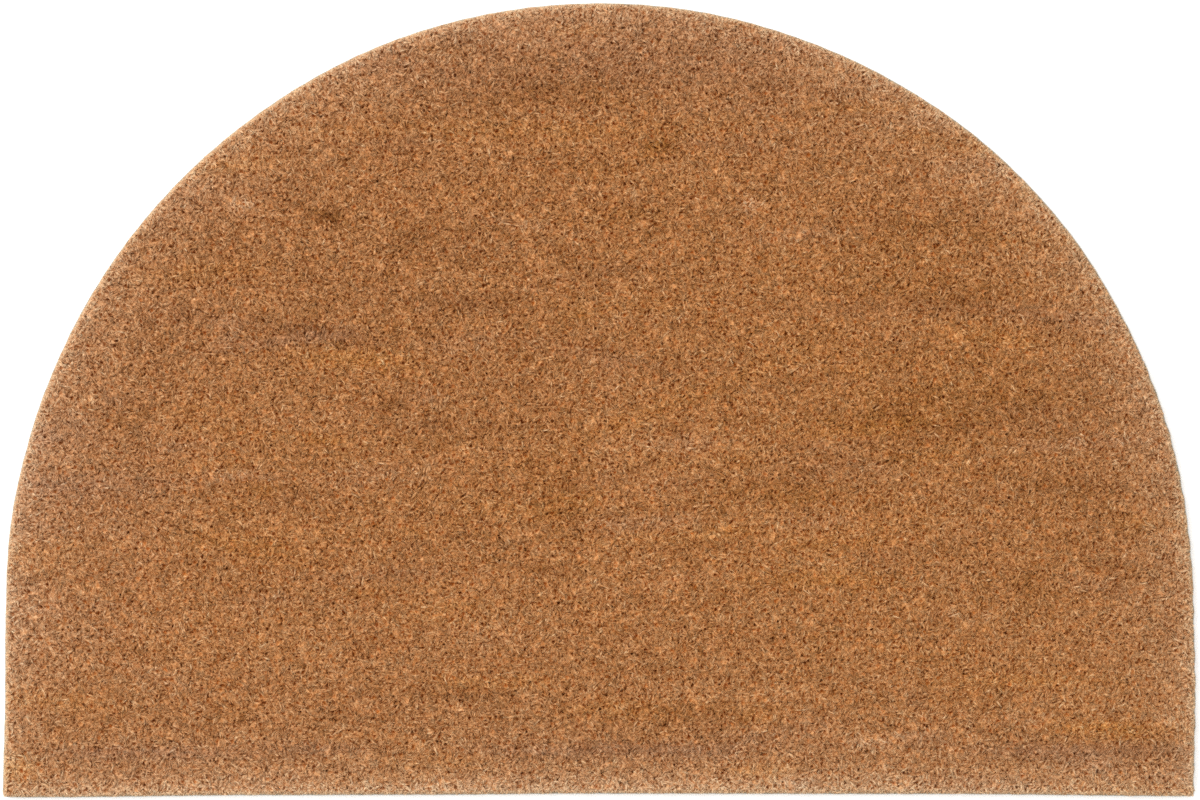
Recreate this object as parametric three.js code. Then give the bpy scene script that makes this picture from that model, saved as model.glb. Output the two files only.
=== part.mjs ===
// Half round doormat of cut coir pile, bonded into a flat PVC backing.
// Millimetres. X runs along the straight edge, Y points to the crown of the arc and Z is up.
// The origin is the middle of the underside, where the mat rests on the floor.
import * as THREE from 'three';

// Driving dimensions
const WIDTH = 900;
const DEPTH = 600;
const THICKNESS = 15;
const BACKING_THICKNESS = 2.2;
const CLEARANCE = 0.3;

// The cut outline: an arc, two sides that splay a little to their feet, and a straight edge.
const ARC_RADIUS = 446.6;
const ARC_CENTRE_X = 1;
const ARC_CENTRE_Y = DEPTH - 1 - ARC_RADIUS;
const CORNER_CUT = 0.7;
const FOOT_LEFT_X = -WIDTH / 2;
const FOOT_RIGHT_X = WIDTH / 2 - 1.2;
const OUTLINE_STEP = 5.4;

// How far the hand guided cut strays outwards from that outline, at marks along it.
// The marks start at the right foot, go up the right side, over the arc and down the left side,
// and end along the straight edge, which bows in.
const STRAY = [
  { along: 0, out: 0.0 },
  { along: 85, out: 1.8 },
  { along: 150, out: 0.8 },
  { along: 200, out: -0.2 },
  { along: 380, out: -0.2 },
  { along: 440, out: 0.8 },
  { along: 540, out: 0.8 },
  { along: 620, out: 0.0 },
  { along: 700, out: -0.3 },
  { along: 790, out: 0.2 },
  { along: 1000, out: 0.2 },
  { along: 1150, out: -0.9 },
  { along: 1230, out: -0.9 },
  { along: 1360, out: -0.6 },
  { along: 1430, out: 0.1 },
  { along: 1510, out: 1.5 },
  { along: 1570, out: 1.6 },
  { along: 1650, out: 0.0 },
  { along: 1740, out: 0.0 },
  { along: 1900, out: -1.6 },
  { along: 2020, out: -1.9 },
  { along: 2150, out: -2.8 },
  { along: 2410, out: -2.5 },
  { along: 2610, out: -0.8 },
];

// The rows of tufts scallop the cut. It is deepest on the right side and the start of the arc.
const SCALLOPS = 153;
const SCALLOP_DEEP = 0.6;
const SCALLOP_SHALLOW = 0.2;
const SCALLOP_DEEP_UNTIL = 270;
const SCALLOP_SHALLOW_FROM = 420;
const SCALLOP_WAVES = [
  { share: 0.65, rate: 1.0, start: 0.0 },
  { share: 0.35, rate: 0.62, start: 1.3 },
];

// The pile's edge: upright at its foot, bulging where the fibres lean out, and rounded over at the top.
// The first ring lies on the backing and the last one is the edge of the flat top.
const PILE_RINGS = [
  { height: BACKING_THICKNESS + CLEARANCE, inset: 1.0 },
  { height: 8.0, inset: 0.0 },
  { height: 12.2, inset: 0.7 },
  { height: 14.3, inset: 2.2 },
  { height: THICKNESS, inset: 4.7 },
];
const BACKING_INSET = 0.2;

// The stray at a length along the outline, eased smoothly from mark to mark
function strayAt(along) {
  const next = STRAY.findIndex((mark) => mark.along > along);
  if (next < 1) return STRAY[STRAY.length - 1].out;
  const from = STRAY[next - 1];
  const to = STRAY[next];
  const share = (along - from.along) / (to.along - from.along);
  return THREE.MathUtils.lerp(from.out, to.out, THREE.MathUtils.smoothstep(share, 0, 1));
}

// The scallop at a length along the outline, from two waves so that no two rows are alike
function scallopAt(along, total) {
  const turn = (2 * Math.PI * SCALLOPS * along) / total;
  let height = 0;
  for (const wave of SCALLOP_WAVES) {
    height += wave.share * Math.sin(wave.rate * turn + wave.start);
  }
  const fade = THREE.MathUtils.smoothstep(along, SCALLOP_DEEP_UNTIL, SCALLOP_SHALLOW_FROM);
  return height * THREE.MathUtils.lerp(SCALLOP_DEEP, SCALLOP_SHALLOW, fade);
}

// The smooth outline in two runs, anticlockwise: sides and arc from foot to foot, then the straight edge
function outlineRuns() {
  const round = new THREE.Path();
  round.moveTo(FOOT_RIGHT_X, 0);
  round.lineTo(ARC_CENTRE_X + ARC_RADIUS, ARC_CENTRE_Y);
  round.absarc(ARC_CENTRE_X, ARC_CENTRE_Y, ARC_RADIUS, 0, Math.PI, false);
  round.lineTo(FOOT_LEFT_X, 0);
  const straight = new THREE.Path();
  straight.moveTo(FOOT_LEFT_X, 0);
  straight.lineTo(FOOT_RIGHT_X, 0);
  return [round, straight];
}

// The way out of a run at a share of its length, for an anticlockwise outline
function outwards(run, share) {
  const tangent = run.getTangentAt(share);
  return new THREE.Vector2(tangent.y, -tangent.x);
}

// Even points round the real cut edge, each with the way out, from the stray and the scallops.
// The way out of a foot is the mitre of its two edges, and its tip is cut back a little.
function cutEdge() {
  const runs = outlineRuns();
  const total = runs[0].getLength() + runs[1].getLength();
  const points = [];
  let start = 0;
  runs.forEach((run, index) => {
    const length = run.getLength();
    const count = Math.round(length / OUTLINE_STEP);
    const before = outwards(runs[1 - index], 1);
    for (let i = 0; i < count; i += 1) {
      const along = start + (length * i) / count;
      const spot = run.getPointAt(i / count);
      const out = outwards(run, i / count);
      const isFoot = i === 0;
      if (isFoot) out.add(before);
      const stray = strayAt(along) + scallopAt(along, total);
      spot.addScaledVector(out, isFoot ? -CORNER_CUT : stray);
      points.push({ spot, out });
    }
    start += length;
  });
  return points;
}

// The points of one ring: the cut edge drawn in by the ring's inset
function ringPoints(edge, ring) {
  return edge.map(({ spot, out }) => spot.clone().addScaledVector(out, -ring.inset));
}

// A closed body through rings of the same edge, each at its own height and inset
function loftedSheet(edge, rings) {
  const count = edge.length;
  const outlines = rings.map((ring) => ringPoints(edge, ring));
  const vertices = [];
  rings.forEach((ring, level) => {
    for (const point of outlines[level]) {
      vertices.push(point.x, point.y - DEPTH / 2, ring.height);
    }
  });

  const triangles = [];
  for (let level = 0; level < rings.length - 1; level += 1) {
    for (let i = 0; i < count; i += 1) {
      const low = level * count + i;
      const lowNext = level * count + ((i + 1) % count);
      triangles.push(low, lowNext, lowNext + count, low, lowNext + count, low + count);
    }
  }

  for (const [a, b, c] of THREE.ShapeUtils.triangulateShape(outlines[0], [])) {
    triangles.push(a, c, b);
  }
  const top = (rings.length - 1) * count;
  for (const [a, b, c] of THREE.ShapeUtils.triangulateShape(outlines[rings.length - 1], [])) {
    triangles.push(top + a, top + b, top + c);
  }

  const geometry = new THREE.BufferGeometry();
  geometry.setAttribute('position', new THREE.Float32BufferAttribute(vertices, 3));
  geometry.setIndex(triangles);
  geometry.computeVertexNormals();
  return geometry;
}

function makeBacking(edge) {
  const rings = [
    { height: 0, inset: BACKING_INSET },
    { height: BACKING_THICKNESS, inset: BACKING_INSET },
  ];
  const pvc = new THREE.MeshStandardMaterial({ color: 0x8c8168, roughness: 0.7, metalness: 0 });
  const mesh = new THREE.Mesh(loftedSheet(edge, rings), pvc);
  mesh.name = 'backing';
  return mesh;
}

function makePile(edge) {
  const coir = new THREE.MeshStandardMaterial({ color: 0xa66e43, roughness: 0.95, metalness: 0 });
  const mesh = new THREE.Mesh(loftedSheet(edge, PILE_RINGS), coir);
  mesh.name = 'pile';
  return mesh;
}

const edge = cutEdge();
const doormat = new THREE.Group();
doormat.name = 'doormat';
doormat.add(makeBacking(edge), makePile(edge));

export default doormat;
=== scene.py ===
# Half round doormat of cut coir, seen from straight above on a pale floor.
# Metres, in the CAD frame: X runs along the straight edge, Y points to the top of the arc and Z is up.
# The origin is the middle of the underside.
import math

import bpy
import numpy as np
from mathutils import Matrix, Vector
from mathutils.geometry import delaunay_2d_cdt
from mathutils.kdtree import KDTree


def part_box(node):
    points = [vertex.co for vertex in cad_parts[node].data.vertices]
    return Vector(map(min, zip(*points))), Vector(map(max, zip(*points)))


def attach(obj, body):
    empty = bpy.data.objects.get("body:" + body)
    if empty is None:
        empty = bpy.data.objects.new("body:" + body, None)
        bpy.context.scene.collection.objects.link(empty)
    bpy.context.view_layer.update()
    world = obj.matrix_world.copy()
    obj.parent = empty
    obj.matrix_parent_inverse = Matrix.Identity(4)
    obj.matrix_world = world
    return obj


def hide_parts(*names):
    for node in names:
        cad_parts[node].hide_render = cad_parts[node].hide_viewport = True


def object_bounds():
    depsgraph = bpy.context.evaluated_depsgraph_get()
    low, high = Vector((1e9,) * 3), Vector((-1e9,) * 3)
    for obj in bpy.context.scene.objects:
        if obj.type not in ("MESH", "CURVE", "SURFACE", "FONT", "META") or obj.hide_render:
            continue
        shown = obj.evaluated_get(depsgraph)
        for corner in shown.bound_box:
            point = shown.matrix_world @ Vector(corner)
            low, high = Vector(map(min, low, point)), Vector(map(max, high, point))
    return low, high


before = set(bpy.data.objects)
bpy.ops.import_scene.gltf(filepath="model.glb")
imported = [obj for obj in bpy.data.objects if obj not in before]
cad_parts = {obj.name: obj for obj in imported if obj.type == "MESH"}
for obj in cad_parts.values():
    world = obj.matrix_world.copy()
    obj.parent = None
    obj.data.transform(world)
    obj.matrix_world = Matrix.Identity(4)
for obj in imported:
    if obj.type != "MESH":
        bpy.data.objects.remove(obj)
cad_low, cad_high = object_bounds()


# PVC backing
# A sheet of soft PVC, poured flat, that the coir is pressed into before it cures. Pile and backing are
# stamped out of a wide roll in one stroke. The sheet is the plain underside, and shows from above only as a
# thin olive grey line round the cut, where it spreads past the pile. That olive grey is partly painted
# shade: darker than bare PVC, for the pile's shadow on the cut edge.
MM = 0.001
# a point from which the whole cut is seen, and how far apart two levels or two points still count as one
INNER_POINT = np.array([0.0, -150 * MM])
SAME_LEVEL = 0.01 * MM
SAME_POINT = 1e-7
# how many points away the neighbours are that give a point of the cut its way out
NEIGHBOURS = 3
BACKING_SPREAD = 1.0035
BACKING_STEP = 4 * MM
BACKING_ROUND = 0.25 * MM
BACKING_MOTTLE = 6 * MM
BACKING_GRAIN = 0.8 * MM
GRAIN_DEPTH = 0.1 * MM
# partly painted shade: both olive greys are darker than bare PVC, for the pile's shadow on the cut edge
PVC_DARK, PVC_PALE = "#6f6650", "#9a9078"


def widest_ring(node):
    """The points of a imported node's widest level, in order round the mat."""
    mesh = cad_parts[node].data
    points = np.zeros(len(mesh.vertices) * 3)
    mesh.vertices.foreach_get("co", points)
    points = points.reshape(-1, 3)
    levels = np.unique(np.round(points[:, 2], 5))
    spans = [np.ptp(points[np.abs(points[:, 2] - z) < SAME_LEVEL, 0]) for z in levels]
    ring = points[np.abs(points[:, 2] - levels[int(np.argmax(spans))]) < SAME_LEVEL, :2]
    ring = np.unique(np.round(ring, 6), axis=0)
    away = ring - INNER_POINT
    return ring[np.argsort(np.arctan2(away[:, 1], away[:, 0]))]


def even_edge(ring, step):
    """Even points along a closed line, each with its way out, taken between its neighbours."""
    closed = np.vstack([ring, ring[:1]])
    along = np.concatenate([[0], np.cumsum(np.hypot(*np.diff(closed, axis=0).T))])
    marks = np.arange(0, along[-1], along[-1] / round(along[-1] / step))
    spots = np.stack([np.interp(marks, along, closed[:, axis]) for axis in (0, 1)], axis=1)
    ahead = np.roll(spots, -NEIGHBOURS, axis=0) - np.roll(spots, NEIGHBOURS, axis=0)
    out = np.stack([ahead[:, 1], -ahead[:, 0]], axis=1)
    return spots, out / np.hypot(*out.T)[:, None]


def srgb(code):
    """A hex colour as linear light, with alpha."""
    parts = [int(code[i:i + 2], 16) / 255 for i in (1, 3, 5)]
    return [p / 12.92 if p <= 0.04045 else ((p + 0.055) / 1.055) ** 2.4 for p in parts] + [1.0]


def add_node(tree, kind, settings=None, **inputs):
    """A node with its settings. An input, by name or by i and its number, is a value or a socket to link."""
    node = tree.nodes.new(kind)
    for name, value in (settings or {}).items():
        setattr(node, name, value)
    for name, value in inputs.items():
        key = name.replace("_", " ")
        socket = node.inputs[int(key[1:]) if key[0] == "i" and key[1:].isdigit() else key]
        if isinstance(value, bpy.types.NodeSocket):
            tree.links.new(value, socket)
        else:
            socket.default_value = value
    return node


def new_material(name):
    """An empty material with its output node."""
    material = bpy.data.materials.new(name)
    material.use_nodes = True
    material.node_tree.nodes.clear()
    return material, material.node_tree, material.node_tree.nodes.new("ShaderNodeOutputMaterial")


def filled_line(rim, inner):
    """The points and the triangles that fill a closed line, also through the points inside it."""
    every = [Vector(point) for point in (*rim, *inner)]
    loop = [(i, (i + 1) % len(rim)) for i in range(len(rim))]
    points, _, faces, *_ = delaunay_2d_cdt(every, loop, [], 1, SAME_POINT)
    return np.array([tuple(point) for point in points]), np.array(faces)


def flat_faces(spots):
    """Triangles that fill a closed line of points, seen from above."""
    return filled_line(spots, [])[1]


def wall_faces(low, high, count):
    """Two triangles for each side between two rings of one count."""
    here = np.arange(count)
    after = (here + 1) % count
    one = np.stack([low + here, low + after, high + after], axis=1)
    two = np.stack([low + here, high + after, high + here], axis=1)
    return np.vstack([one, two])


def joined_mesh(name, points, faces, material, notes=None, uv=None, smooth=False):
    """One object from triangles, with a value a point for each note."""
    mesh = bpy.data.meshes.new(name)
    mesh.vertices.add(len(points))
    mesh.vertices.foreach_set("co", np.ascontiguousarray(points, np.float32).ravel())
    mesh.loops.add(faces.size)
    mesh.loops.foreach_set("vertex_index", np.ascontiguousarray(faces, np.int32).ravel())
    mesh.polygons.add(len(faces))
    mesh.polygons.foreach_set("loop_start", np.arange(0, faces.size, 3, dtype=np.int32))
    mesh.update(calc_edges=True)
    for key, values in (notes or {}).items():
        layer = mesh.attributes.new(key, "FLOAT", "POINT")
        layer.data.foreach_set("value", np.ascontiguousarray(values, np.float32))
    if uv is not None:
        layer = mesh.uv_layers.new(name="OFBake")
        layer.uv.foreach_set("vector", np.ascontiguousarray(uv, np.float32).ravel())
    mesh.materials.append(material)
    mesh.polygons.foreach_set("use_smooth", np.full(len(faces), smooth))
    piece = bpy.data.objects.new(name, mesh)
    bpy.context.scene.collection.objects.link(piece)
    return piece


def pvc_with_painted_shade():
    """Soft PVC, poured and cured: dull olive grey, with a faint cloud of coir dust and a pebbled skin.
    The olive grey is partly painted shade, for the pile's shadow on the cut edge.
    """
    material, tree, output = new_material("pvc_with_painted_shade")
    spot = add_node(tree, "ShaderNodeTexCoord").outputs["Object"]
    cloud = add_node(tree, "ShaderNodeTexNoise", Vector=spot, Scale=1 / BACKING_MOTTLE, Detail=3.0)
    colour = add_node(tree, "ShaderNodeMix", {"data_type": "RGBA"}, Factor=cloud.outputs["Fac"],
                      i6=srgb(PVC_DARK), i7=srgb(PVC_PALE))
    pebbles = add_node(tree, "ShaderNodeTexNoise", Vector=spot, Scale=1 / BACKING_GRAIN, Detail=2.0)
    skin = add_node(tree, "ShaderNodeBump", Strength=0.3, Distance=GRAIN_DEPTH,
                    Height=pebbles.outputs["Fac"])
    gloss = add_node(tree, "ShaderNodeMapRange", Value=pebbles.outputs["Fac"], To_Min=0.55, To_Max=0.75)
    pvc = add_node(tree, "ShaderNodeBsdfPrincipled", Base_Color=colour.outputs[2],
                   Roughness=gloss.outputs[0], Normal=skin.outputs[0], IOR=1.52)
    tree.links.new(pvc.outputs[0], output.inputs[0])
    return material


def backing_sheet():
    """The sheet, with its cut edge just broken above and below."""
    node_low, node_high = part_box("backing")
    levels = [(node_low.z, BACKING_ROUND), (node_low.z + BACKING_ROUND, 0.0),
              (node_high.z - BACKING_ROUND, 0.0), (node_high.z, BACKING_ROUND)]
    spots, out = even_edge(widest_ring("backing") * BACKING_SPREAD, BACKING_STEP)
    count = len(spots)
    rings = [np.column_stack([spots - out * inset, np.full(count, z)]) for z, inset in levels]
    fill = flat_faces(rings[0][:, :2])
    walls = [wall_faces(i * count, (i + 1) * count, count) for i in range(len(levels) - 1)]
    faces = np.vstack([fill[:, ::-1], *walls, fill + (len(levels) - 1) * count])
    return joined_mesh("pvc_backing", np.vstack(rings), faces, pvc_with_painted_shade())


pvc_backing = backing_sheet()
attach(pvc_backing, "root")
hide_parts("backing")


# Coir colour
# Coconut fibre is bought in bales of uneven age, so its brown drifts in long bands along the yarn rows, from
# mauve brown to gold. A few rows are stained or bleached. One pale band along the straight edge is painted
# light. All the pile's pieces take their tone from this.
DRIFTS_AND_EDGE_LIGHT = [
    # x, y, half length and half width in mm, turn in degrees, then how much paler and how much more golden
    dict(x=-345, y=-266, long=75, wide=5, turn=0, pale=-0.5, gold=-1.2),
    dict(x=-205, y=-263, long=48, wide=5, turn=0, pale=-0.5, gold=-0.9),
    dict(x=-22, y=-264, long=140, wide=5, turn=1, pale=-0.6, gold=-1.0),
    dict(x=195, y=-260, long=60, wide=5, turn=0, pale=-0.1, gold=-0.3),
    dict(x=368, y=-264, long=80, wide=6, turn=0, pale=-0.9, gold=-1.1),
    dict(x=-297, y=61, long=36, wide=6, turn=-8, pale=0.0, gold=-0.6),
    dict(x=-210, y=50, long=52, wide=7, turn=-9, pale=-1.1, gold=-0.8),
    dict(x=-97, y=74, long=50, wide=7, turn=0, pale=-1.0, gold=-0.6),
    dict(x=227, y=69, long=80, wide=8, turn=0, pale=-0.4, gold=-0.7),
    dict(x=348, y=62, long=50, wide=6, turn=-6, pale=-0.2, gold=-0.8),
    dict(x=-120, y=-19, long=50, wide=6, turn=0, pale=-0.4, gold=-0.4),
    dict(x=0, y=255, long=170, wide=32, turn=0, pale=-0.3, gold=-0.7),
    dict(x=-40, y=232, long=55, wide=10, turn=4, pale=-0.9, gold=0.0),
    dict(x=262, y=-9, long=90, wide=24, turn=3, pale=-1.0, gold=-0.1),
    dict(x=258, y=80, long=72, wide=12, turn=0, pale=-0.7, gold=-0.1),
    dict(x=238, y=131, long=58, wide=9, turn=0, pale=-0.7, gold=0.0),
    dict(x=133, y=-72, long=44, wide=7, turn=0, pale=-1.0, gold=0.0),
    dict(x=-26, y=-75, long=26, wide=24, turn=0, pale=-0.7, gold=0.0),
    dict(x=-108, y=118, long=45, wide=14, turn=0, pale=-0.7, gold=-0.2),
    dict(x=352, y=-68, long=50, wide=8, turn=0, pale=-0.3, gold=-0.2),
    dict(x=330, y=-140, long=34, wide=16, turn=0, pale=-0.6, gold=0.0),
    dict(x=-55, y=203, long=170, wide=7, turn=0, pale=0.1, gold=0.6),
    dict(x=10, y=-68, long=72, wide=6, turn=17, pale=0.2, gold=0.5),
    dict(x=56, y=-3, long=95, wide=6, turn=21, pale=0.0, gold=0.5),
    dict(x=106, y=-98, long=100, wide=6, turn=5, pale=0.4, gold=0.7),
    dict(x=-342, y=-110, long=80, wide=6, turn=0, pale=0.3, gold=0.3),
    dict(x=-78, y=-213, long=50, wide=5, turn=0, pale=0.3, gold=0.8),
    dict(x=322, y=-212, long=60, wide=5, turn=0, pale=0.4, gold=0.8),
    dict(x=7, y=-28, long=90, wide=4, turn=90, pale=0.6, gold=0.0),
    dict(x=357, y=-240, long=88, wide=5, turn=0, pale=0.7, gold=-0.1),
    dict(x=-437, y=-278, long=13, wide=10, turn=0, pale=1.1, gold=1.6),
    dict(x=-205, y=138, long=15, wide=4.5, turn=-14, pale=-3.2, gold=-0.8),
    dict(x=46, y=190, long=14, wide=7, turn=20, pale=-1.5, gold=0.4),
    dict(x=24, y=141, long=20, wide=5, turn=0, pale=-0.9, gold=0.0),
    dict(x=-158, y=-4, long=8, wide=6, turn=0, pale=-2.0, gold=-0.6),
    dict(x=-267, y=147, long=10, wide=6, turn=0, pale=1.8, gold=0.0),
    dict(x=204, y=-257, long=16, wide=5, turn=0, pale=2.1, gold=0.3),
    dict(x=114, y=147, long=7, wide=5, turn=0, pale=3.2, gold=0.0),
    dict(x=330, y=-230, long=240, wide=150, turn=0, pale=0.5, gold=0.35),
    dict(x=-230, y=-200, long=260, wide=100, turn=0, pale=0.3, gold=0.0),
    dict(x=-410, y=-90, long=100, wide=110, turn=0, pale=0.2, gold=-0.4),
    dict(x=270, y=50, long=150, wide=100, turn=0, pale=0.2, gold=0.35),
    dict(x=-200, y=70, long=200, wide=130, turn=0, pale=-0.2, gold=-0.3),
    # painted light: a pale band along the straight edge, where the pile's cut side catches the light
    dict(x=0, y=-294, long=460, wide=12, turn=0, pale=0.7, gold=0.0),
]
# the fainter bands between them, in the same columns: the least and the most, or the spread about zero
YARN_BANDS, YARN_SEED = 320, 7
YARN_SPANS = dict(x=(-450, 450), y=(-300, 300), long=(8, 60), wide=(3, 9))
YARN_SPREADS = dict(turn=6, pale=0.3, gold=0.35)

# painted light: the coir is painted paler towards the cut, over a broad ramp and two narrow bands, for the
# light that reaches the rim from the side
RIM_LIGHT_REACH, RIM_LIGHT = 55 * MM, 0.85
RIM_LIT_BANDS = [dict(reach=10 * MM, pale=0.9), dict(reach=4 * MM, pale=0.8)]
RIM_GREY = [dict(reach=60 * MM, grey=1.1), dict(reach=8 * MM, grey=0.2)]
SIDE_LIGHT_REACH, SIDE_LIGHT = 25 * MM, 0.4

# Every point of the pile carries three notes: its tone, how golden it is, and its rise, from 0 deep in the
# pile to 1 at its top; the lower the rise, the more painted shade. Tone moves from dark to pale along a
# ramp, and gold from the first to the second one.
COIR_RAMPS = (
    ("#6d452c", "#916648", "#af8362", "#cba17e", "#e1c2a0"),
    ("#774309", "#9f6622", "#c0823e", "#d9a160", "#edc286"),
)
TONE_STEP = 0.17
GOLD_STEP = 0.25
# painted shade: deep in the pile the colour is multiplied towards this tint, the more so the lower the rise
DEEP_SHADE_TINT = "#ffc62a"
SHADE_CURVE = 1.7
STAIN_SIZE = 1.6 * MM
LOCK_SIZE = 4 * MM
FELT_GRAIN = (5 * MM, 0.55 * MM, 2 * MM)
RIDGE_SIZE = 0.4 * MM
RIDGE_DEPTH = 0.1 * MM


def rim_painted_light(room):
    """Painted light: how much paler the coir is painted towards the cut, where more light reaches it from
    the side.
    """
    worn = sum(band["pale"] * np.exp(-((room / band["reach"]) ** 2)) for band in RIM_LIT_BANDS)
    return RIM_LIGHT * np.clip(1 - room / RIM_LIGHT_REACH, 0, 1) + worn


def rim_greyness(room):
    """How much the coir loses its gold towards the cut."""
    return sum(band["grey"] * np.exp(-room / band["reach"]) for band in RIM_GREY)


def side_light(room):
    """How much less deep in the pile the coir looks towards the cut, where light comes in from the side."""
    return SIDE_LIGHT * np.exp(-room / SIDE_LIGHT_REACH)


def yarn_bands():
    """Fainter bands of the same kind at random places, so that no stretch is quite even."""
    chance = np.random.default_rng(YARN_SEED)
    for _ in range(YARN_BANDS):
        band = {column: chance.uniform(*span) for column, span in YARN_SPANS.items()}
        band.update((column, chance.normal(0, spread)) for column, spread in YARN_SPREADS.items())
        yield band


def drifts_and_edge_light_at(points):
    """How much paler and more golden than the mean the coir is at each point, the painted edge light
    included.
    """
    pale, gold = np.zeros(len(points)), np.zeros(len(points))
    for row in [*DRIFTS_AND_EDGE_LIGHT, *yarn_bands()]:
        turn = math.radians(row["turn"])
        away = (points - np.array([row["x"], row["y"]]) * MM) / MM
        along = away[:, 0] * math.cos(turn) + away[:, 1] * math.sin(turn)
        across = away[:, 1] * math.cos(turn) - away[:, 0] * math.sin(turn)
        share = np.exp(-(np.abs(along) / row["long"]) ** 3 - (across / row["wide"]) ** 2)
        pale += row["pale"] * share
        gold += row["gold"] * share
    return pale, gold


def strand_mottle(tree, spot):
    """Short stains along a strand."""
    return add_node(tree, "ShaderNodeTexNoise", Vector=spot, Scale=1 / STAIN_SIZE, Detail=2.0).outputs["Fac"]


def felt_mottle(tree, spot):
    """Locks that each lie their own way, of fibres drawn about three times coarser than coconut fibre."""
    lock = add_node(tree, "ShaderNodeTexVoronoi", Vector=spot, Scale=1 / LOCK_SIZE)
    chance = add_node(tree, "ShaderNodeSeparateColor", Color=lock.outputs["Color"])
    angle = add_node(tree, "ShaderNodeMath", {"operation": "MULTIPLY"},
                     i0=chance.outputs[0], i1=2 * math.pi)
    turned = add_node(tree, "ShaderNodeVectorRotate", {"rotation_type": "Z_AXIS"}, Vector=spot,
                      Angle=angle.outputs[0])
    drawn = add_node(tree, "ShaderNodeVectorMath", {"operation": "MULTIPLY"}, i0=turned.outputs[0],
                     i1=[1 / size for size in FELT_GRAIN])
    fibres = add_node(tree, "ShaderNodeTexNoise", Vector=drawn.outputs[0], Scale=1.0, Detail=2.0)
    return fibres.outputs["Fac"]


def coir(name, mottle, mottle_depth, grain):
    """Coconut fibre, washed and cut: dull, dry strands from red brown to straw, mottled along their length.
    Down in the pile the colour is painted deeper and warmer: painted shade, for the light that reaches there
    only through other fibres."""
    material, tree, output = new_material(name)
    spot = add_node(tree, "ShaderNodeTexCoord").outputs["Object"]
    tone, gold, rise = [add_node(tree, "ShaderNodeAttribute", {"attribute_name": note}).outputs["Fac"]
                        for note in ("tone", "gold", "rise")]
    stain = mottle(tree, spot)
    speck = add_node(tree, "ShaderNodeMath", {"operation": "MULTIPLY_ADD"},
                     i0=stain, i1=mottle_depth, i2=-mottle_depth / 2)
    place = add_node(tree, "ShaderNodeMath", {"operation": "MULTIPLY_ADD"}, i0=tone, i1=TONE_STEP, i2=0.5)
    place = add_node(tree, "ShaderNodeMath", {"operation": "ADD"}, i0=place.outputs[0], i1=speck.outputs[0])
    ramps = []
    for stops in COIR_RAMPS:
        ramp = add_node(tree, "ShaderNodeValToRGB", Fac=place.outputs[0])
        ramp.color_ramp.elements[0].color = srgb(stops[0])
        ramp.color_ramp.elements[1].color = srgb(stops[-1])
        for step, code in enumerate(stops[1:-1], start=1):
            ramp.color_ramp.elements.new(step / (len(stops) - 1)).color = srgb(code)
        ramps.append(ramp.outputs[0])
    share = add_node(tree, "ShaderNodeMath", {"operation": "MULTIPLY_ADD", "use_clamp": True},
                     i0=gold, i1=GOLD_STEP, i2=0.5)
    fibre = add_node(tree, "ShaderNodeMix", {"data_type": "RGBA"}, Factor=share.outputs[0],
                     i6=ramps[0], i7=ramps[1])
    # painted shade: the lower the rise, the more the colour is multiplied by the deep shade tint
    depth = add_node(tree, "ShaderNodeMapRange", Value=rise, To_Min=1.0, To_Max=0.0)
    depth = add_node(tree, "ShaderNodeMath", {"operation": "POWER"}, i0=depth.outputs[0], i1=SHADE_CURVE)
    shaded = add_node(tree, "ShaderNodeMix", {"data_type": "RGBA", "blend_type": "MULTIPLY"},
                        Factor=depth.outputs[0], i6=fibre.outputs[2], i7=srgb(DEEP_SHADE_TINT))
    ridges = add_node(tree, "ShaderNodeTexNoise", Vector=spot, Scale=1 / RIDGE_SIZE, Detail=1.0)
    height = add_node(tree, "ShaderNodeMath", {"operation": "MULTIPLY_ADD"}, i0=stain, i1=grain,
                      i2=ridges.outputs["Fac"])
    skin = add_node(tree, "ShaderNodeBump", Strength=0.4, Distance=RIDGE_DEPTH, Height=height.outputs[0])
    dryness = add_node(tree, "ShaderNodeMapRange", Value=ridges.outputs["Fac"], To_Min=0.7, To_Max=0.95)
    strand = add_node(tree, "ShaderNodeBsdfPrincipled", Base_Color=shaded.outputs[2],
                      Roughness=dryness.outputs[0], Normal=skin.outputs[0], Specular_IOR_Level=0.03)
    tree.links.new(strand.outputs[0], output.inputs[0])
    return material


cut_coir = coir("cut_coir", strand_mottle, mottle_depth=0.24, grain=0.0)
felted_coir = coir("felted_coir", felt_mottle, mottle_depth=2.1, grain=8.0)


# Pile bed
# The lower half of the pile, where the tufts stand so tight that they read as one dark felt. It is a closed
# slab on the backing, with a hump under each tuft. It shows only in the pits where three tufts meet, and a
# few of the pits stand open.
PILE_FOOT, PILE_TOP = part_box("pile")[0].z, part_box("pile")[1].z
PILE_SEED = 41
EDGE_STEP = 1.0 * MM
TUFT_PITCH = 5.0 * MM
TUFT_JITTER = 0.8 * MM
# the step between two rows, as a share of the pitch in a row
ROW_SHARE = 0.88
# the two rows along the cut, in mm: how far inside it and the step along it, then the room inside them
RIM_TUFTS = [dict(inset=4.2, step=3.6), dict(inset=7.4, step=4.4)]
RIM_TUFT_ROOM = 2.6
RIM_TUFT_JITTER = 0.4 * MM
BED_INSET = 2.2 * MM
BED_STEP = 3.6 * MM
HUMP_TOP, HUMP_SPREAD = 12.0 * MM, 0.4 * MM
PIT_FLOOR, PIT_SPREAD = 9.8 * MM, 1.2 * MM
OPEN_SHARE, OPEN_DEPTH = 0.11, 0.8 * MM
# how much of the drift, of the rim's painted light and of its greyness the bed takes, and how its tone
# varies
BED_DRIFT = 0.6
BED_RIM_LIGHT, BED_RIM_GREY = 0.3, 0.5
BED_TONE_SPREAD = 0.4
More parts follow.
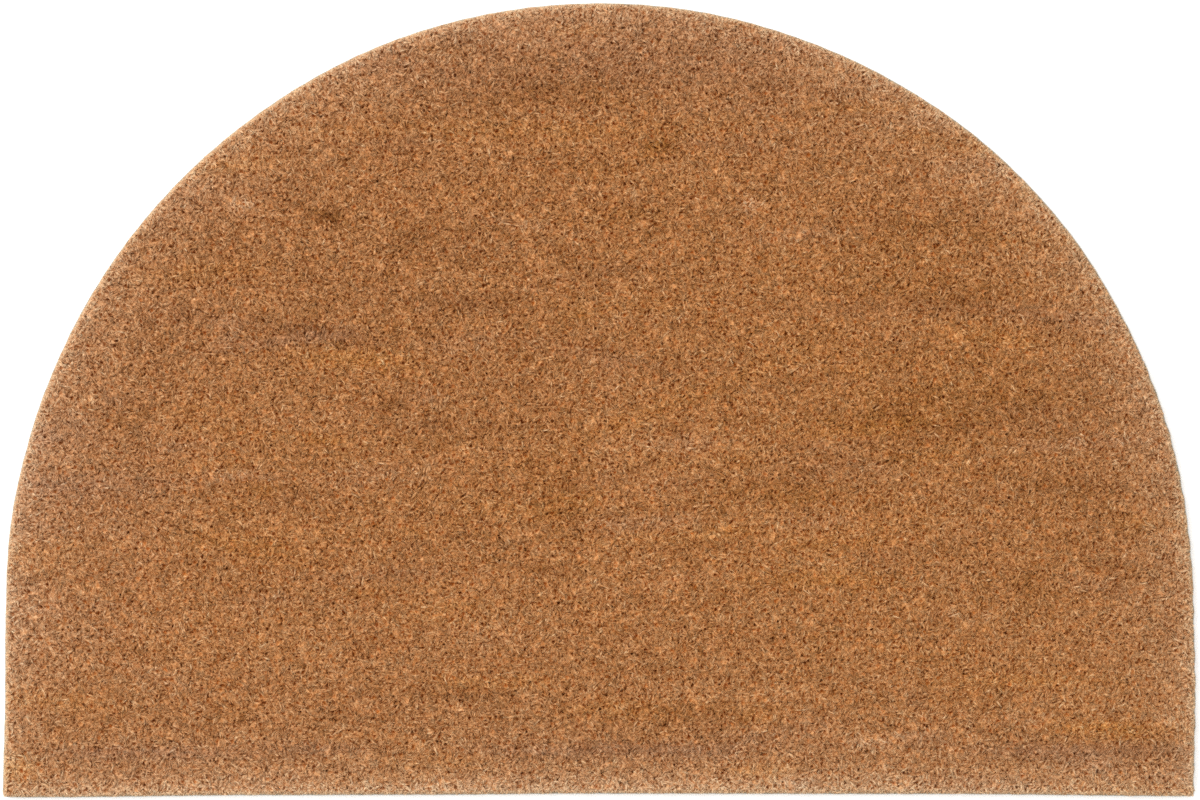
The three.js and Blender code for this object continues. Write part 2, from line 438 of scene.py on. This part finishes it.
# how far below the shorn face the bed takes its full painted shade, and over how much height that fades
FULL_SHADE_DEPTH, SHADE_FADE = 5.8 * MM, 4 * MM
SHEAR_EDGE = [
    # how far inside the cut, and the height that the pile is shorn to there, in mm
    dict(room=-1.0, height=7.0),
    dict(room=0.0, height=9.0),
    dict(room=0.7, height=12.2),
    dict(room=2.2, height=14.3),
    dict(room=4.7, height=15.0),
]


def point_tree(spots):
    """A tree that finds the nearest of many points."""
    tree = KDTree(len(spots))
    for index, (x, y) in enumerate(spots):
        tree.insert((x, y, 0.0), index)
    tree.balance()
    return tree


def nearest(tree, spots):
    """The number of the tree's point nearest to each spot."""
    return np.array([tree.find((x, y, 0.0))[1] for x, y in spots])


def to_edge(points):
    """How far inside the cut each point lies, negative outside, and the way out there."""
    near = nearest(edge_tree, points)
    return ((edge_spots[near] - points) * edge_out[near]).sum(axis=1), edge_out[near]


def shorn_height(room):
    """The height that the pile is shorn to, which rounds over towards the cut."""
    rooms = [mark["room"] * MM for mark in SHEAR_EDGE]
    heights = [mark["height"] * MM for mark in SHEAR_EDGE]
    return np.interp(room, rooms, heights)


def staggered_rows(pitch, jitter):
    """Points in staggered rows along X over the whole mat, each a little out of place."""
    xs = np.arange(cad_low.x, cad_high.x, pitch)
    ys = np.arange(cad_low.y, cad_high.y, pitch * ROW_SHARE)
    grid_x, grid_y = np.meshgrid(xs, ys)
    grid_x = grid_x + (np.arange(len(ys)) % 2)[:, None] * pitch / 2
    points = np.column_stack([grid_x.ravel(), grid_y.ravel()])
    return points + random.normal(0, jitter, points.shape)


def tuft_places():
    """The tufts' rows, and two rows that follow the cut."""
    rows = staggered_rows(TUFT_PITCH, TUFT_JITTER)
    places = [rows[to_edge(rows)[0] > (RIM_TUFTS[-1]["inset"] + RIM_TUFT_ROOM) * MM]]
    for row in RIM_TUFTS:
        spots, out = even_edge(cut_ring, row["step"] * MM)
        spots = spots - out * row["inset"] * MM
        places.append(spots + random.normal(0, RIM_TUFT_JITTER, spots.shape))
    return np.vstack(places)


def pile_bed():
    """The slab, with a hump at each tuft and a pit between each three, and the places of the open pits."""
    edge, out = even_edge(cut_ring, BED_STEP)
    ring = edge - out * BED_INSET
    count = len(ring)
    humps, meets = filled_line(ring, tufts)
    hump_top = shorn_height(to_edge(humps)[0]) - (PILE_TOP - HUMP_TOP)
    hump_top += random.normal(0, HUMP_SPREAD, len(humps))
    hump_top[:count] = PIT_FLOOR
    pits = humps[meets].mean(axis=1)
    pit_floor = PIT_FLOOR + random.normal(0, PIT_SPREAD, len(pits))
    pit_floor = np.minimum(pit_floor, hump_top[meets].min(axis=1))
    is_open = random.random(len(pits)) < OPEN_SHARE
    pit_floor[is_open] -= OPEN_DEPTH
    top = np.vstack([np.column_stack([humps, hump_top]), np.column_stack([pits, pit_floor])])
    centre = len(humps) + np.arange(len(pits))
    sides = [np.column_stack([meets[:, i], meets[:, (i + 1) % 3], centre]) for i in range(3)]
    foot = np.column_stack([ring, np.full(count, PILE_FOOT)])
    foot_faces = flat_faces(ring) + len(top)
    points = np.vstack([top, foot])

    room, _ = to_edge(points[:, :2])
    pale, gold = drifts_and_edge_light_at(points[:, :2])
    # painted shade: the deeper below the shorn face, the lower the bed's rise and the darker its colour
    depth = shorn_height(room) - points[:, 2]
    tone = pale * BED_DRIFT + rim_painted_light(room) * BED_RIM_LIGHT
    notes = {"tone": tone + random.normal(0, BED_TONE_SPREAD, len(points)),
             "gold": gold - rim_greyness(room) * BED_RIM_GREY,
             "rise": np.clip((FULL_SHADE_DEPTH - depth) / SHADE_FADE + side_light(room), 0, 1)}
    faces = np.vstack([*sides, wall_faces(len(top), 0, count), foot_faces[:, ::-1]])
    return joined_mesh("pile_bed", points, faces, felted_coir, notes), pits[is_open]


cut_ring = widest_ring("pile")
edge_spots, edge_out = even_edge(cut_ring, EDGE_STEP)
edge_tree = point_tree(edge_spots)
random = np.random.default_rng(PILE_SEED)
tufts = tuft_places()
bed, open_pits = pile_bed()
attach(bed, "root")
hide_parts("pile")


# Tufts
# Coir yarn cut to short tufts and pressed into the soft PVC in staggered rows, then shorn level. Each tuft
# frays into locks that lean every way over its neighbours. The strands are drawn three to four times coarser
# than coconut fibre, so that they show. Each is a closed sliver with flat ends and a quarter turn of twist.
PILE_SECTIONS = 5
LOCK_PITCH = 2.79 * MM
LOCK_JITTER = 0.45 * MM
LOCK_INSET = 1.4 * MM
# the longest lean of a lock, and the two numbers of the beta curve that the leans follow
LOCK_REACH, LEAN_CURVE = 8.2 * MM, (2.4, 1.8)
# strands abreast in a lock, and what share of their step they stand apart at the foot, and more at the tip
STRANDS_A_LOCK = 3
STRAND_STEP = 0.75 * MM
FOOT_FAN, TIP_FAN = 0.8, 0.4
# least and most: the width, the length as a share of the lock's lean, and the roll in radians
STRAND_WIDTHS = (0.6 * MM, 1.1 * MM)
STRAND_LENGTHS = (0.7, 1.2)
ROLLS = (0.35, 1.2)
# the room that a strand's foot and tip keep to the cut, and the least and most radius of an open pit
FOOT_ROOM, TIP_ROOM = 0.9 * MM, 0.6 * MM
PIT_RADII = (1.1 * MM, 2.0 * MM)
# a tip sinks by this share of its lean, and rises past the shorn height by no more than this
DROOP = 0.12
TALLEST = 0.2 * MM
# how far below the pile's top a tip keeps, as a share of its width, and the least height of a strand
TIP_DEPTH = 0.3
SHORTEST = 1.5 * MM
ROOT_HEIGHT = 10.8 * MM
# painted shade: the rise at a strand's foot, so that a strand is painted darker towards its foot
ROOT_RISE = 0.15
# cut ends that lie flat on the top: how many, how far they drop along their length, their rise, which gives
# them little painted shade, and how much paler they are
FALLEN_SHARE = 0.07
FALLEN_DROP = 0.6 * MM
FALLEN_RISE, FALLEN_PALE = 0.9, 0.5
# how much of the drift a tuft takes, how much gold a paler row loses, and how golden a tuft is
TUFT_DRIFT = 0.7
PALE_GREYNESS = 0.35
TUFT_GOLD = 0.1
TUFT_SPREAD = dict(tone=0.2, gold=0.1, rise=0.35 * MM, lean=0.8 * MM)
LOCK_SPREAD = dict(tone=0.35, rise=0.3 * MM)
STRAND_SPREAD = dict(tone=0.65, gold=0.05, foot=0.3 * MM, lean=0.4 * MM, tip=0.3 * MM, root=0.8 * MM)

# added to the side of a strand, which would have no length if the strand stood upright
NEVER_ZERO = 1e-6
# a strand's four corners and four faces, and where those faces lie in its cell of the map
CORNERS = 4
SLIVER_FACES = np.array([[0, 1, 2], [0, 3, 1], [0, 2, 3], [1, 3, 2]])
SLIVER_LAYOUT = np.array([
    [[0.0, 0.0], [0.46, 0.0], [0.0, 0.95]],
    [[0.54, 0.0], [1.0, 0.95], [1.0, 0.0]],
    [[0.54, 0.05], [0.54, 1.0], [0.96, 1.0]],
    [[0.46, 0.05], [0.46, 1.0], [0.04, 1.0]],
])
CELL_MARGIN = 0.06


def strand_cells(count):
    """A cell of its own on the map for each strand, filled by its faces laid out apart."""
    across = math.ceil(math.sqrt(count))
    index = np.arange(count)
    corner = np.stack([index % across, index // across], axis=1)
    inner = CELL_MARGIN + (1 - 2 * CELL_MARGIN) * SLIVER_LAYOUT
    return ((corner[:, None, None, :] + inner[None]) / across).reshape(-1, 2)


def slivers(name, feet, tips, widths, tone, gold, low_rise):
    """Closed twisted strands from feet to tips, as one mesh."""
    count = len(feet)
    along = tips - feet
    along /= np.linalg.norm(along, axis=1)[:, None]
    side = np.cross([0.0, 0.0, 1.0], along) + [NEVER_ZERO, 0.0, 0.0]
    side /= np.linalg.norm(side, axis=1)[:, None]
    face = np.cross(along, side)
    roll = (random.uniform(*ROLLS, count) * random.choice([-1, 1], count))[:, None]
    low = (np.cos(roll) * side + np.sin(roll) * face) * widths[:, None] / 2
    high = (np.cos(roll) * face - np.sin(roll) * side) * widths[:, None] / 2
    points = np.stack([feet - low, feet + low, tips - high, tips + high], axis=1).reshape(-1, 3)
    faces = (np.arange(count)[:, None, None] * CORNERS + SLIVER_FACES[None]).reshape(-1, 3)
    # painted shade: the rise runs from the foot's value up to 1 at the tip
    rise = np.stack([low_rise, low_rise, np.ones(count), np.ones(count)], axis=1)
    notes = {"tone": np.repeat(tone, CORNERS), "gold": np.repeat(gold, CORNERS), "rise": rise.ravel()}
    return joined_mesh(name, points, faces, cut_coir, notes, strand_cells(count), smooth=True)


def tuft_habits():
    """The tone, gold, rise and lean that all the strands of a tuft share."""
    count = len(tufts)
    room, _ = to_edge(tufts)
    pale, gold = drifts_and_edge_light_at(tufts)
    tone = pale * TUFT_DRIFT + rim_painted_light(room) + random.normal(0, TUFT_SPREAD["tone"], count)
    gold = gold - pale * PALE_GREYNESS - rim_greyness(room)
    gold += random.normal(TUFT_GOLD, TUFT_SPREAD["gold"], count)
    rise = random.normal(0, TUFT_SPREAD["rise"], count)
    lean = random.normal(0, TUFT_SPREAD["lean"], (count, 2))
    return dict(tone=tone, gold=gold, rise=rise, lean=lean)


def lock_habits(tuft):
    """The locks: where each stands, the tuft that it belongs to, how it leans, its tone and its rise."""
    places = staggered_rows(LOCK_PITCH, LOCK_JITTER)
    places = places[to_edge(places)[0] > LOCK_INSET]
    home = nearest(point_tree(tufts), places)
    count = len(places)
    bearing = random.uniform(0, 2 * math.pi, count)
    way = np.stack([np.cos(bearing), np.sin(bearing)], axis=1)
    lean = way * (LOCK_REACH * random.beta(*LEAN_CURVE, count))[:, None] + tuft["lean"][home]
    tone = random.normal(0, LOCK_SPREAD["tone"], count)
    rise = random.normal(0, LOCK_SPREAD["rise"], count)
    return dict(places=places, home=home, way=way, lean=lean, tone=tone, rise=rise)


def clear_of_pits(feet, lean):
    """The feet, with every strand that crosses an open pit moved aside to the pit's rim."""
    near = nearest(point_tree(open_pits), feet + lean / 2)
    radius = random.uniform(*PIT_RADII, len(open_pits))[near]
    away = feet - open_pits[near]
    share = np.clip(-(away * lean).sum(axis=1) / (lean ** 2).sum(axis=1), 0, 1)
    away = away + lean * share[:, None]
    apart = np.hypot(*away.T)
    return feet + away * (np.maximum(radius - apart, 0) / apart)[:, None]


def strand_lines(locks, lock):
    """Each strand's foot and lean, off the open pits and inside the cut, and its room from foot to cut."""
    count = len(lock)
    way, lock_lean = locks["way"][lock], locks["lean"][lock]
    abreast = np.arange(STRANDS_A_LOCK) - (STRANDS_A_LOCK - 1) / 2
    abreast = np.tile(abreast, count // STRANDS_A_LOCK) * STRAND_STEP
    across = np.stack([-way[:, 1], way[:, 0]], axis=1) * abreast[:, None]
    feet = locks["places"][lock] - lock_lean / 2 + across * FOOT_FAN
    feet += random.normal(0, STRAND_SPREAD["foot"], (count, 2))
    lean = lock_lean * random.uniform(*STRAND_LENGTHS, (count, 1)) + across * TIP_FAN
    lean += random.normal(0, STRAND_SPREAD["lean"], (count, 2))
    feet = clear_of_pits(feet, lean)
    room, way_out = to_edge(feet)
    feet -= way_out * np.maximum(FOOT_ROOM - room, 0)[:, None]
    room, way_out = to_edge(feet)
    outward = (lean * way_out).sum(axis=1)
    lean -= way_out * np.maximum(outward - room + TIP_ROOM, 0)[:, None]
    return feet, lean, room


def pile_tufts():
    """All the strands of the pile, in sections from the straight edge to the arc."""
    tuft = tuft_habits()
    locks = lock_habits(tuft)
    lock = np.repeat(np.arange(len(locks["places"])), STRANDS_A_LOCK)
    home = locks["home"][lock]
    count = len(lock)
    feet, lean, room = strand_lines(locks, lock)
    tips = feet + lean
    widths = random.uniform(*STRAND_WIDTHS, count)
    top = shorn_height(to_edge(tips)[0]) + np.minimum(tuft["rise"][home] + locks["rise"][lock], TALLEST)
    top -= DROOP * np.hypot(*lean.T) + random.exponential(STRAND_SPREAD["tip"], count)
    top = np.minimum(top, PILE_TOP - widths * TIP_DEPTH)
    root = np.minimum(ROOT_HEIGHT + random.normal(0, STRAND_SPREAD["root"], count), top - SHORTEST)
    low_rise = ROOT_RISE + side_light(np.maximum(room, 0))
    fallen = random.random(count) < FALLEN_SHARE
    root[fallen] = top[fallen] - FALLEN_DROP
    low_rise[fallen] = FALLEN_RISE
    tone = tuft["tone"][home] + locks["tone"][lock] + random.normal(0, STRAND_SPREAD["tone"], count)
    tone[fallen] += FALLEN_PALE
    gold = tuft["gold"][home] + random.normal(0, STRAND_SPREAD["gold"], count)
    roots, tips = np.column_stack([feet, root]), np.column_stack([tips, top])

    pieces = []
    sections = np.array_split(np.argsort(feet[:, 1]), PILE_SECTIONS)
    for number, part in enumerate(sections, start=1):
        pieces.append(slivers(f"coir_tufts_{number}", roots[part], tips[part], widths[part], tone[part],
                              gold[part], low_rise[part]))
    return pieces


tuft_pieces = pile_tufts()
for piece in tuft_pieces:
    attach(piece, "root")
    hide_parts("pile")


# Rim fibres
# Where the stamp cuts through the tufts, their outer strands lose their neighbours and lean out over the
# edge of the backing. They show their whole length, so the rim looks paler, and their colour is painted
# paler still: painted light, for the light that reaches them from the side.
RIM_ROWS = [
    # in mm: how far inside the cut the row stands, the step along it, how far it leans out, and its height
    dict(inset=2.0, step=0.65, lean=1.3, top=7.5),
    dict(inset=3.0, step=0.70, lean=2.1, top=10.0),
    dict(inset=4.0, step=0.80, lean=2.6, top=12.2),
    dict(inset=5.2, step=0.90, lean=2.8, top=13.6),
]
# least and most: the width, and the lean as a share of the row's
RIM_WIDTHS = (0.8 * MM, 1.3 * MM)
RIM_LEANS = (0.5, 1.25)
RIM_MARGIN = 0.15 * MM
RIM_ROOT_HEIGHT = PILE_FOOT + 0.4 * MM
# painted shade at a rim fibre's foot, lighter than in the tufts
RIM_ROOT_RISE = 0.6
# how much of the drift the rim takes in tone and in gold, and how much paler than the tufts it is painted:
# painted light
RIM_DRIFT, RIM_GOLD = 0.4, 0.5
RIM_EXTRA_LIGHT = 0.3
RIM_SPREAD = dict(inset=0.25 * MM, foot=0.3 * MM, tip=2.0 * MM, top=1.0 * MM, tone=0.35, gold=0.1)


def rim_fibres():
    """Full length strands that fan out over the cut, row behind row."""
    feet, tips = [], []
    for row in RIM_ROWS:
        spots, out = even_edge(cut_ring, row["step"] * MM)
        count = len(spots)
        along = np.stack([-out[:, 1], out[:, 0]], axis=1)
        inset = row["inset"] * MM + random.normal(0, RIM_SPREAD["inset"], count)
        foot = spots - out * inset[:, None] + along * random.normal(0, RIM_SPREAD["foot"], count)[:, None]
        lean = np.minimum(row["lean"] * MM * random.uniform(*RIM_LEANS, count), inset - RIM_MARGIN)
        tip = foot + out * lean[:, None] + along * random.normal(0, RIM_SPREAD["tip"], count)[:, None]
        height = np.minimum(row["top"] * MM + random.normal(0, RIM_SPREAD["top"], count), PILE_TOP)
        feet.append(np.column_stack([foot, np.full(count, RIM_ROOT_HEIGHT)]))
        tips.append(np.column_stack([tip, height]))
    feet, tips = np.vstack(feet), np.vstack(tips)
    count = len(feet)
    room, way_out = to_edge(tips[:, :2])
    tips[:, :2] -= way_out * np.maximum(RIM_MARGIN - room, 0)[:, None]
    pale, gold = drifts_and_edge_light_at(feet[:, :2])
    room, _ = to_edge(tips[:, :2])
    tone = pale * RIM_DRIFT + rim_painted_light(room) + random.normal(RIM_EXTRA_LIGHT, RIM_SPREAD["tone"], count)
    gold = gold * RIM_GOLD - rim_greyness(room) + random.normal(0, RIM_SPREAD["gold"], count)
    widths = random.uniform(*RIM_WIDTHS, count)
    return slivers("rim_fibres", feet, tips, widths, tone, gold, np.full(count, RIM_ROOT_RISE))


rim = rim_fibres()
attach(rim, "root")
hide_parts("pile")


# Floor, light and camera
# A plain pale studio floor, under even white light from all round and one broad soft lamp at the upper left.
# The camera looks straight down on the middle of the mat.
FLOOR_SIDE, FLOOR_DROP = 12.0, 0.1 * MM
FLOOR_COLOUR, SKY_COLOUR = "#f6f6f5", "#ffffff"
SKY_LIGHT = 1.3
LAMP_WATTS = 60.0
LAMP_SIZE = 1.6
LAMP_PLACE = (-1.2, 0.9, 2.2)
# the view is this wide at the level where the pile is widest, and the camera hangs so high above that level
VIEW_LEVEL, VIEW_WIDTH = 9 * MM, 0.9052
CAMERA_HEIGHT = 2.4
CAMERA_SHIFT = (0.8 * MM, -0.2 * MM)
SENSOR_WIDTH = 36.0
PIXEL_BLUR = 2.0


def pale_floor():
    """Matt white card: even and quiet, so that the mat alone draws the eye."""
    material, tree, output = new_material("white_card")
    card = add_node(tree, "ShaderNodeBsdfPrincipled", Base_Color=srgb(FLOOR_COLOUR), Roughness=0.9)
    tree.links.new(card.outputs[0], output.inputs[0])
    return material


floor_mesh = bpy.data.meshes.new("floor")
half = FLOOR_SIDE / 2
corners = [(-half, -half, 0), (half, -half, 0), (half, half, 0), (-half, half, 0)]
floor_mesh.from_pydata(corners, [], [(0, 1, 2, 3)])
floor_mesh.materials.append(pale_floor())
floor = bpy.data.objects.new("floor", floor_mesh)
bpy.context.scene.collection.objects.link(floor)
floor.location.z = -FLOOR_DROP

world = bpy.data.worlds.new("studio")
world.use_nodes = True
sky = world.node_tree.nodes["Background"]
sky.inputs["Color"].default_value = srgb(SKY_COLOUR)
sky.inputs["Strength"].default_value = SKY_LIGHT
bpy.context.scene.world = world

lamp_data = bpy.data.lights.new("softbox", "AREA")
lamp_data.energy = LAMP_WATTS
lamp_data.size = LAMP_SIZE
lamp = bpy.data.objects.new("softbox", lamp_data)
lamp.location = LAMP_PLACE
lamp.rotation_euler = (Vector((0, 0, 0)) - lamp.location).to_track_quat("-Z", "Y").to_euler()
bpy.context.scene.collection.objects.link(lamp)

camera_data = bpy.data.cameras.new("camera")
camera_data.sensor_width = SENSOR_WIDTH
camera_data.lens = SENSOR_WIDTH * CAMERA_HEIGHT / VIEW_WIDTH
camera = bpy.data.objects.new("camera", camera_data)
camera.location = (*CAMERA_SHIFT, CAMERA_HEIGHT + VIEW_LEVEL)
bpy.context.scene.collection.objects.link(camera)
bpy.context.scene.camera = camera
bpy.context.scene.view_settings.view_transform = "Standard"
# raw samples keep the fine strands, and a wide filter gives them the photo's softness
bpy.context.scene.cycles.use_denoising = False
bpy.context.scene.cycles.filter_width = PIXEL_BLUR
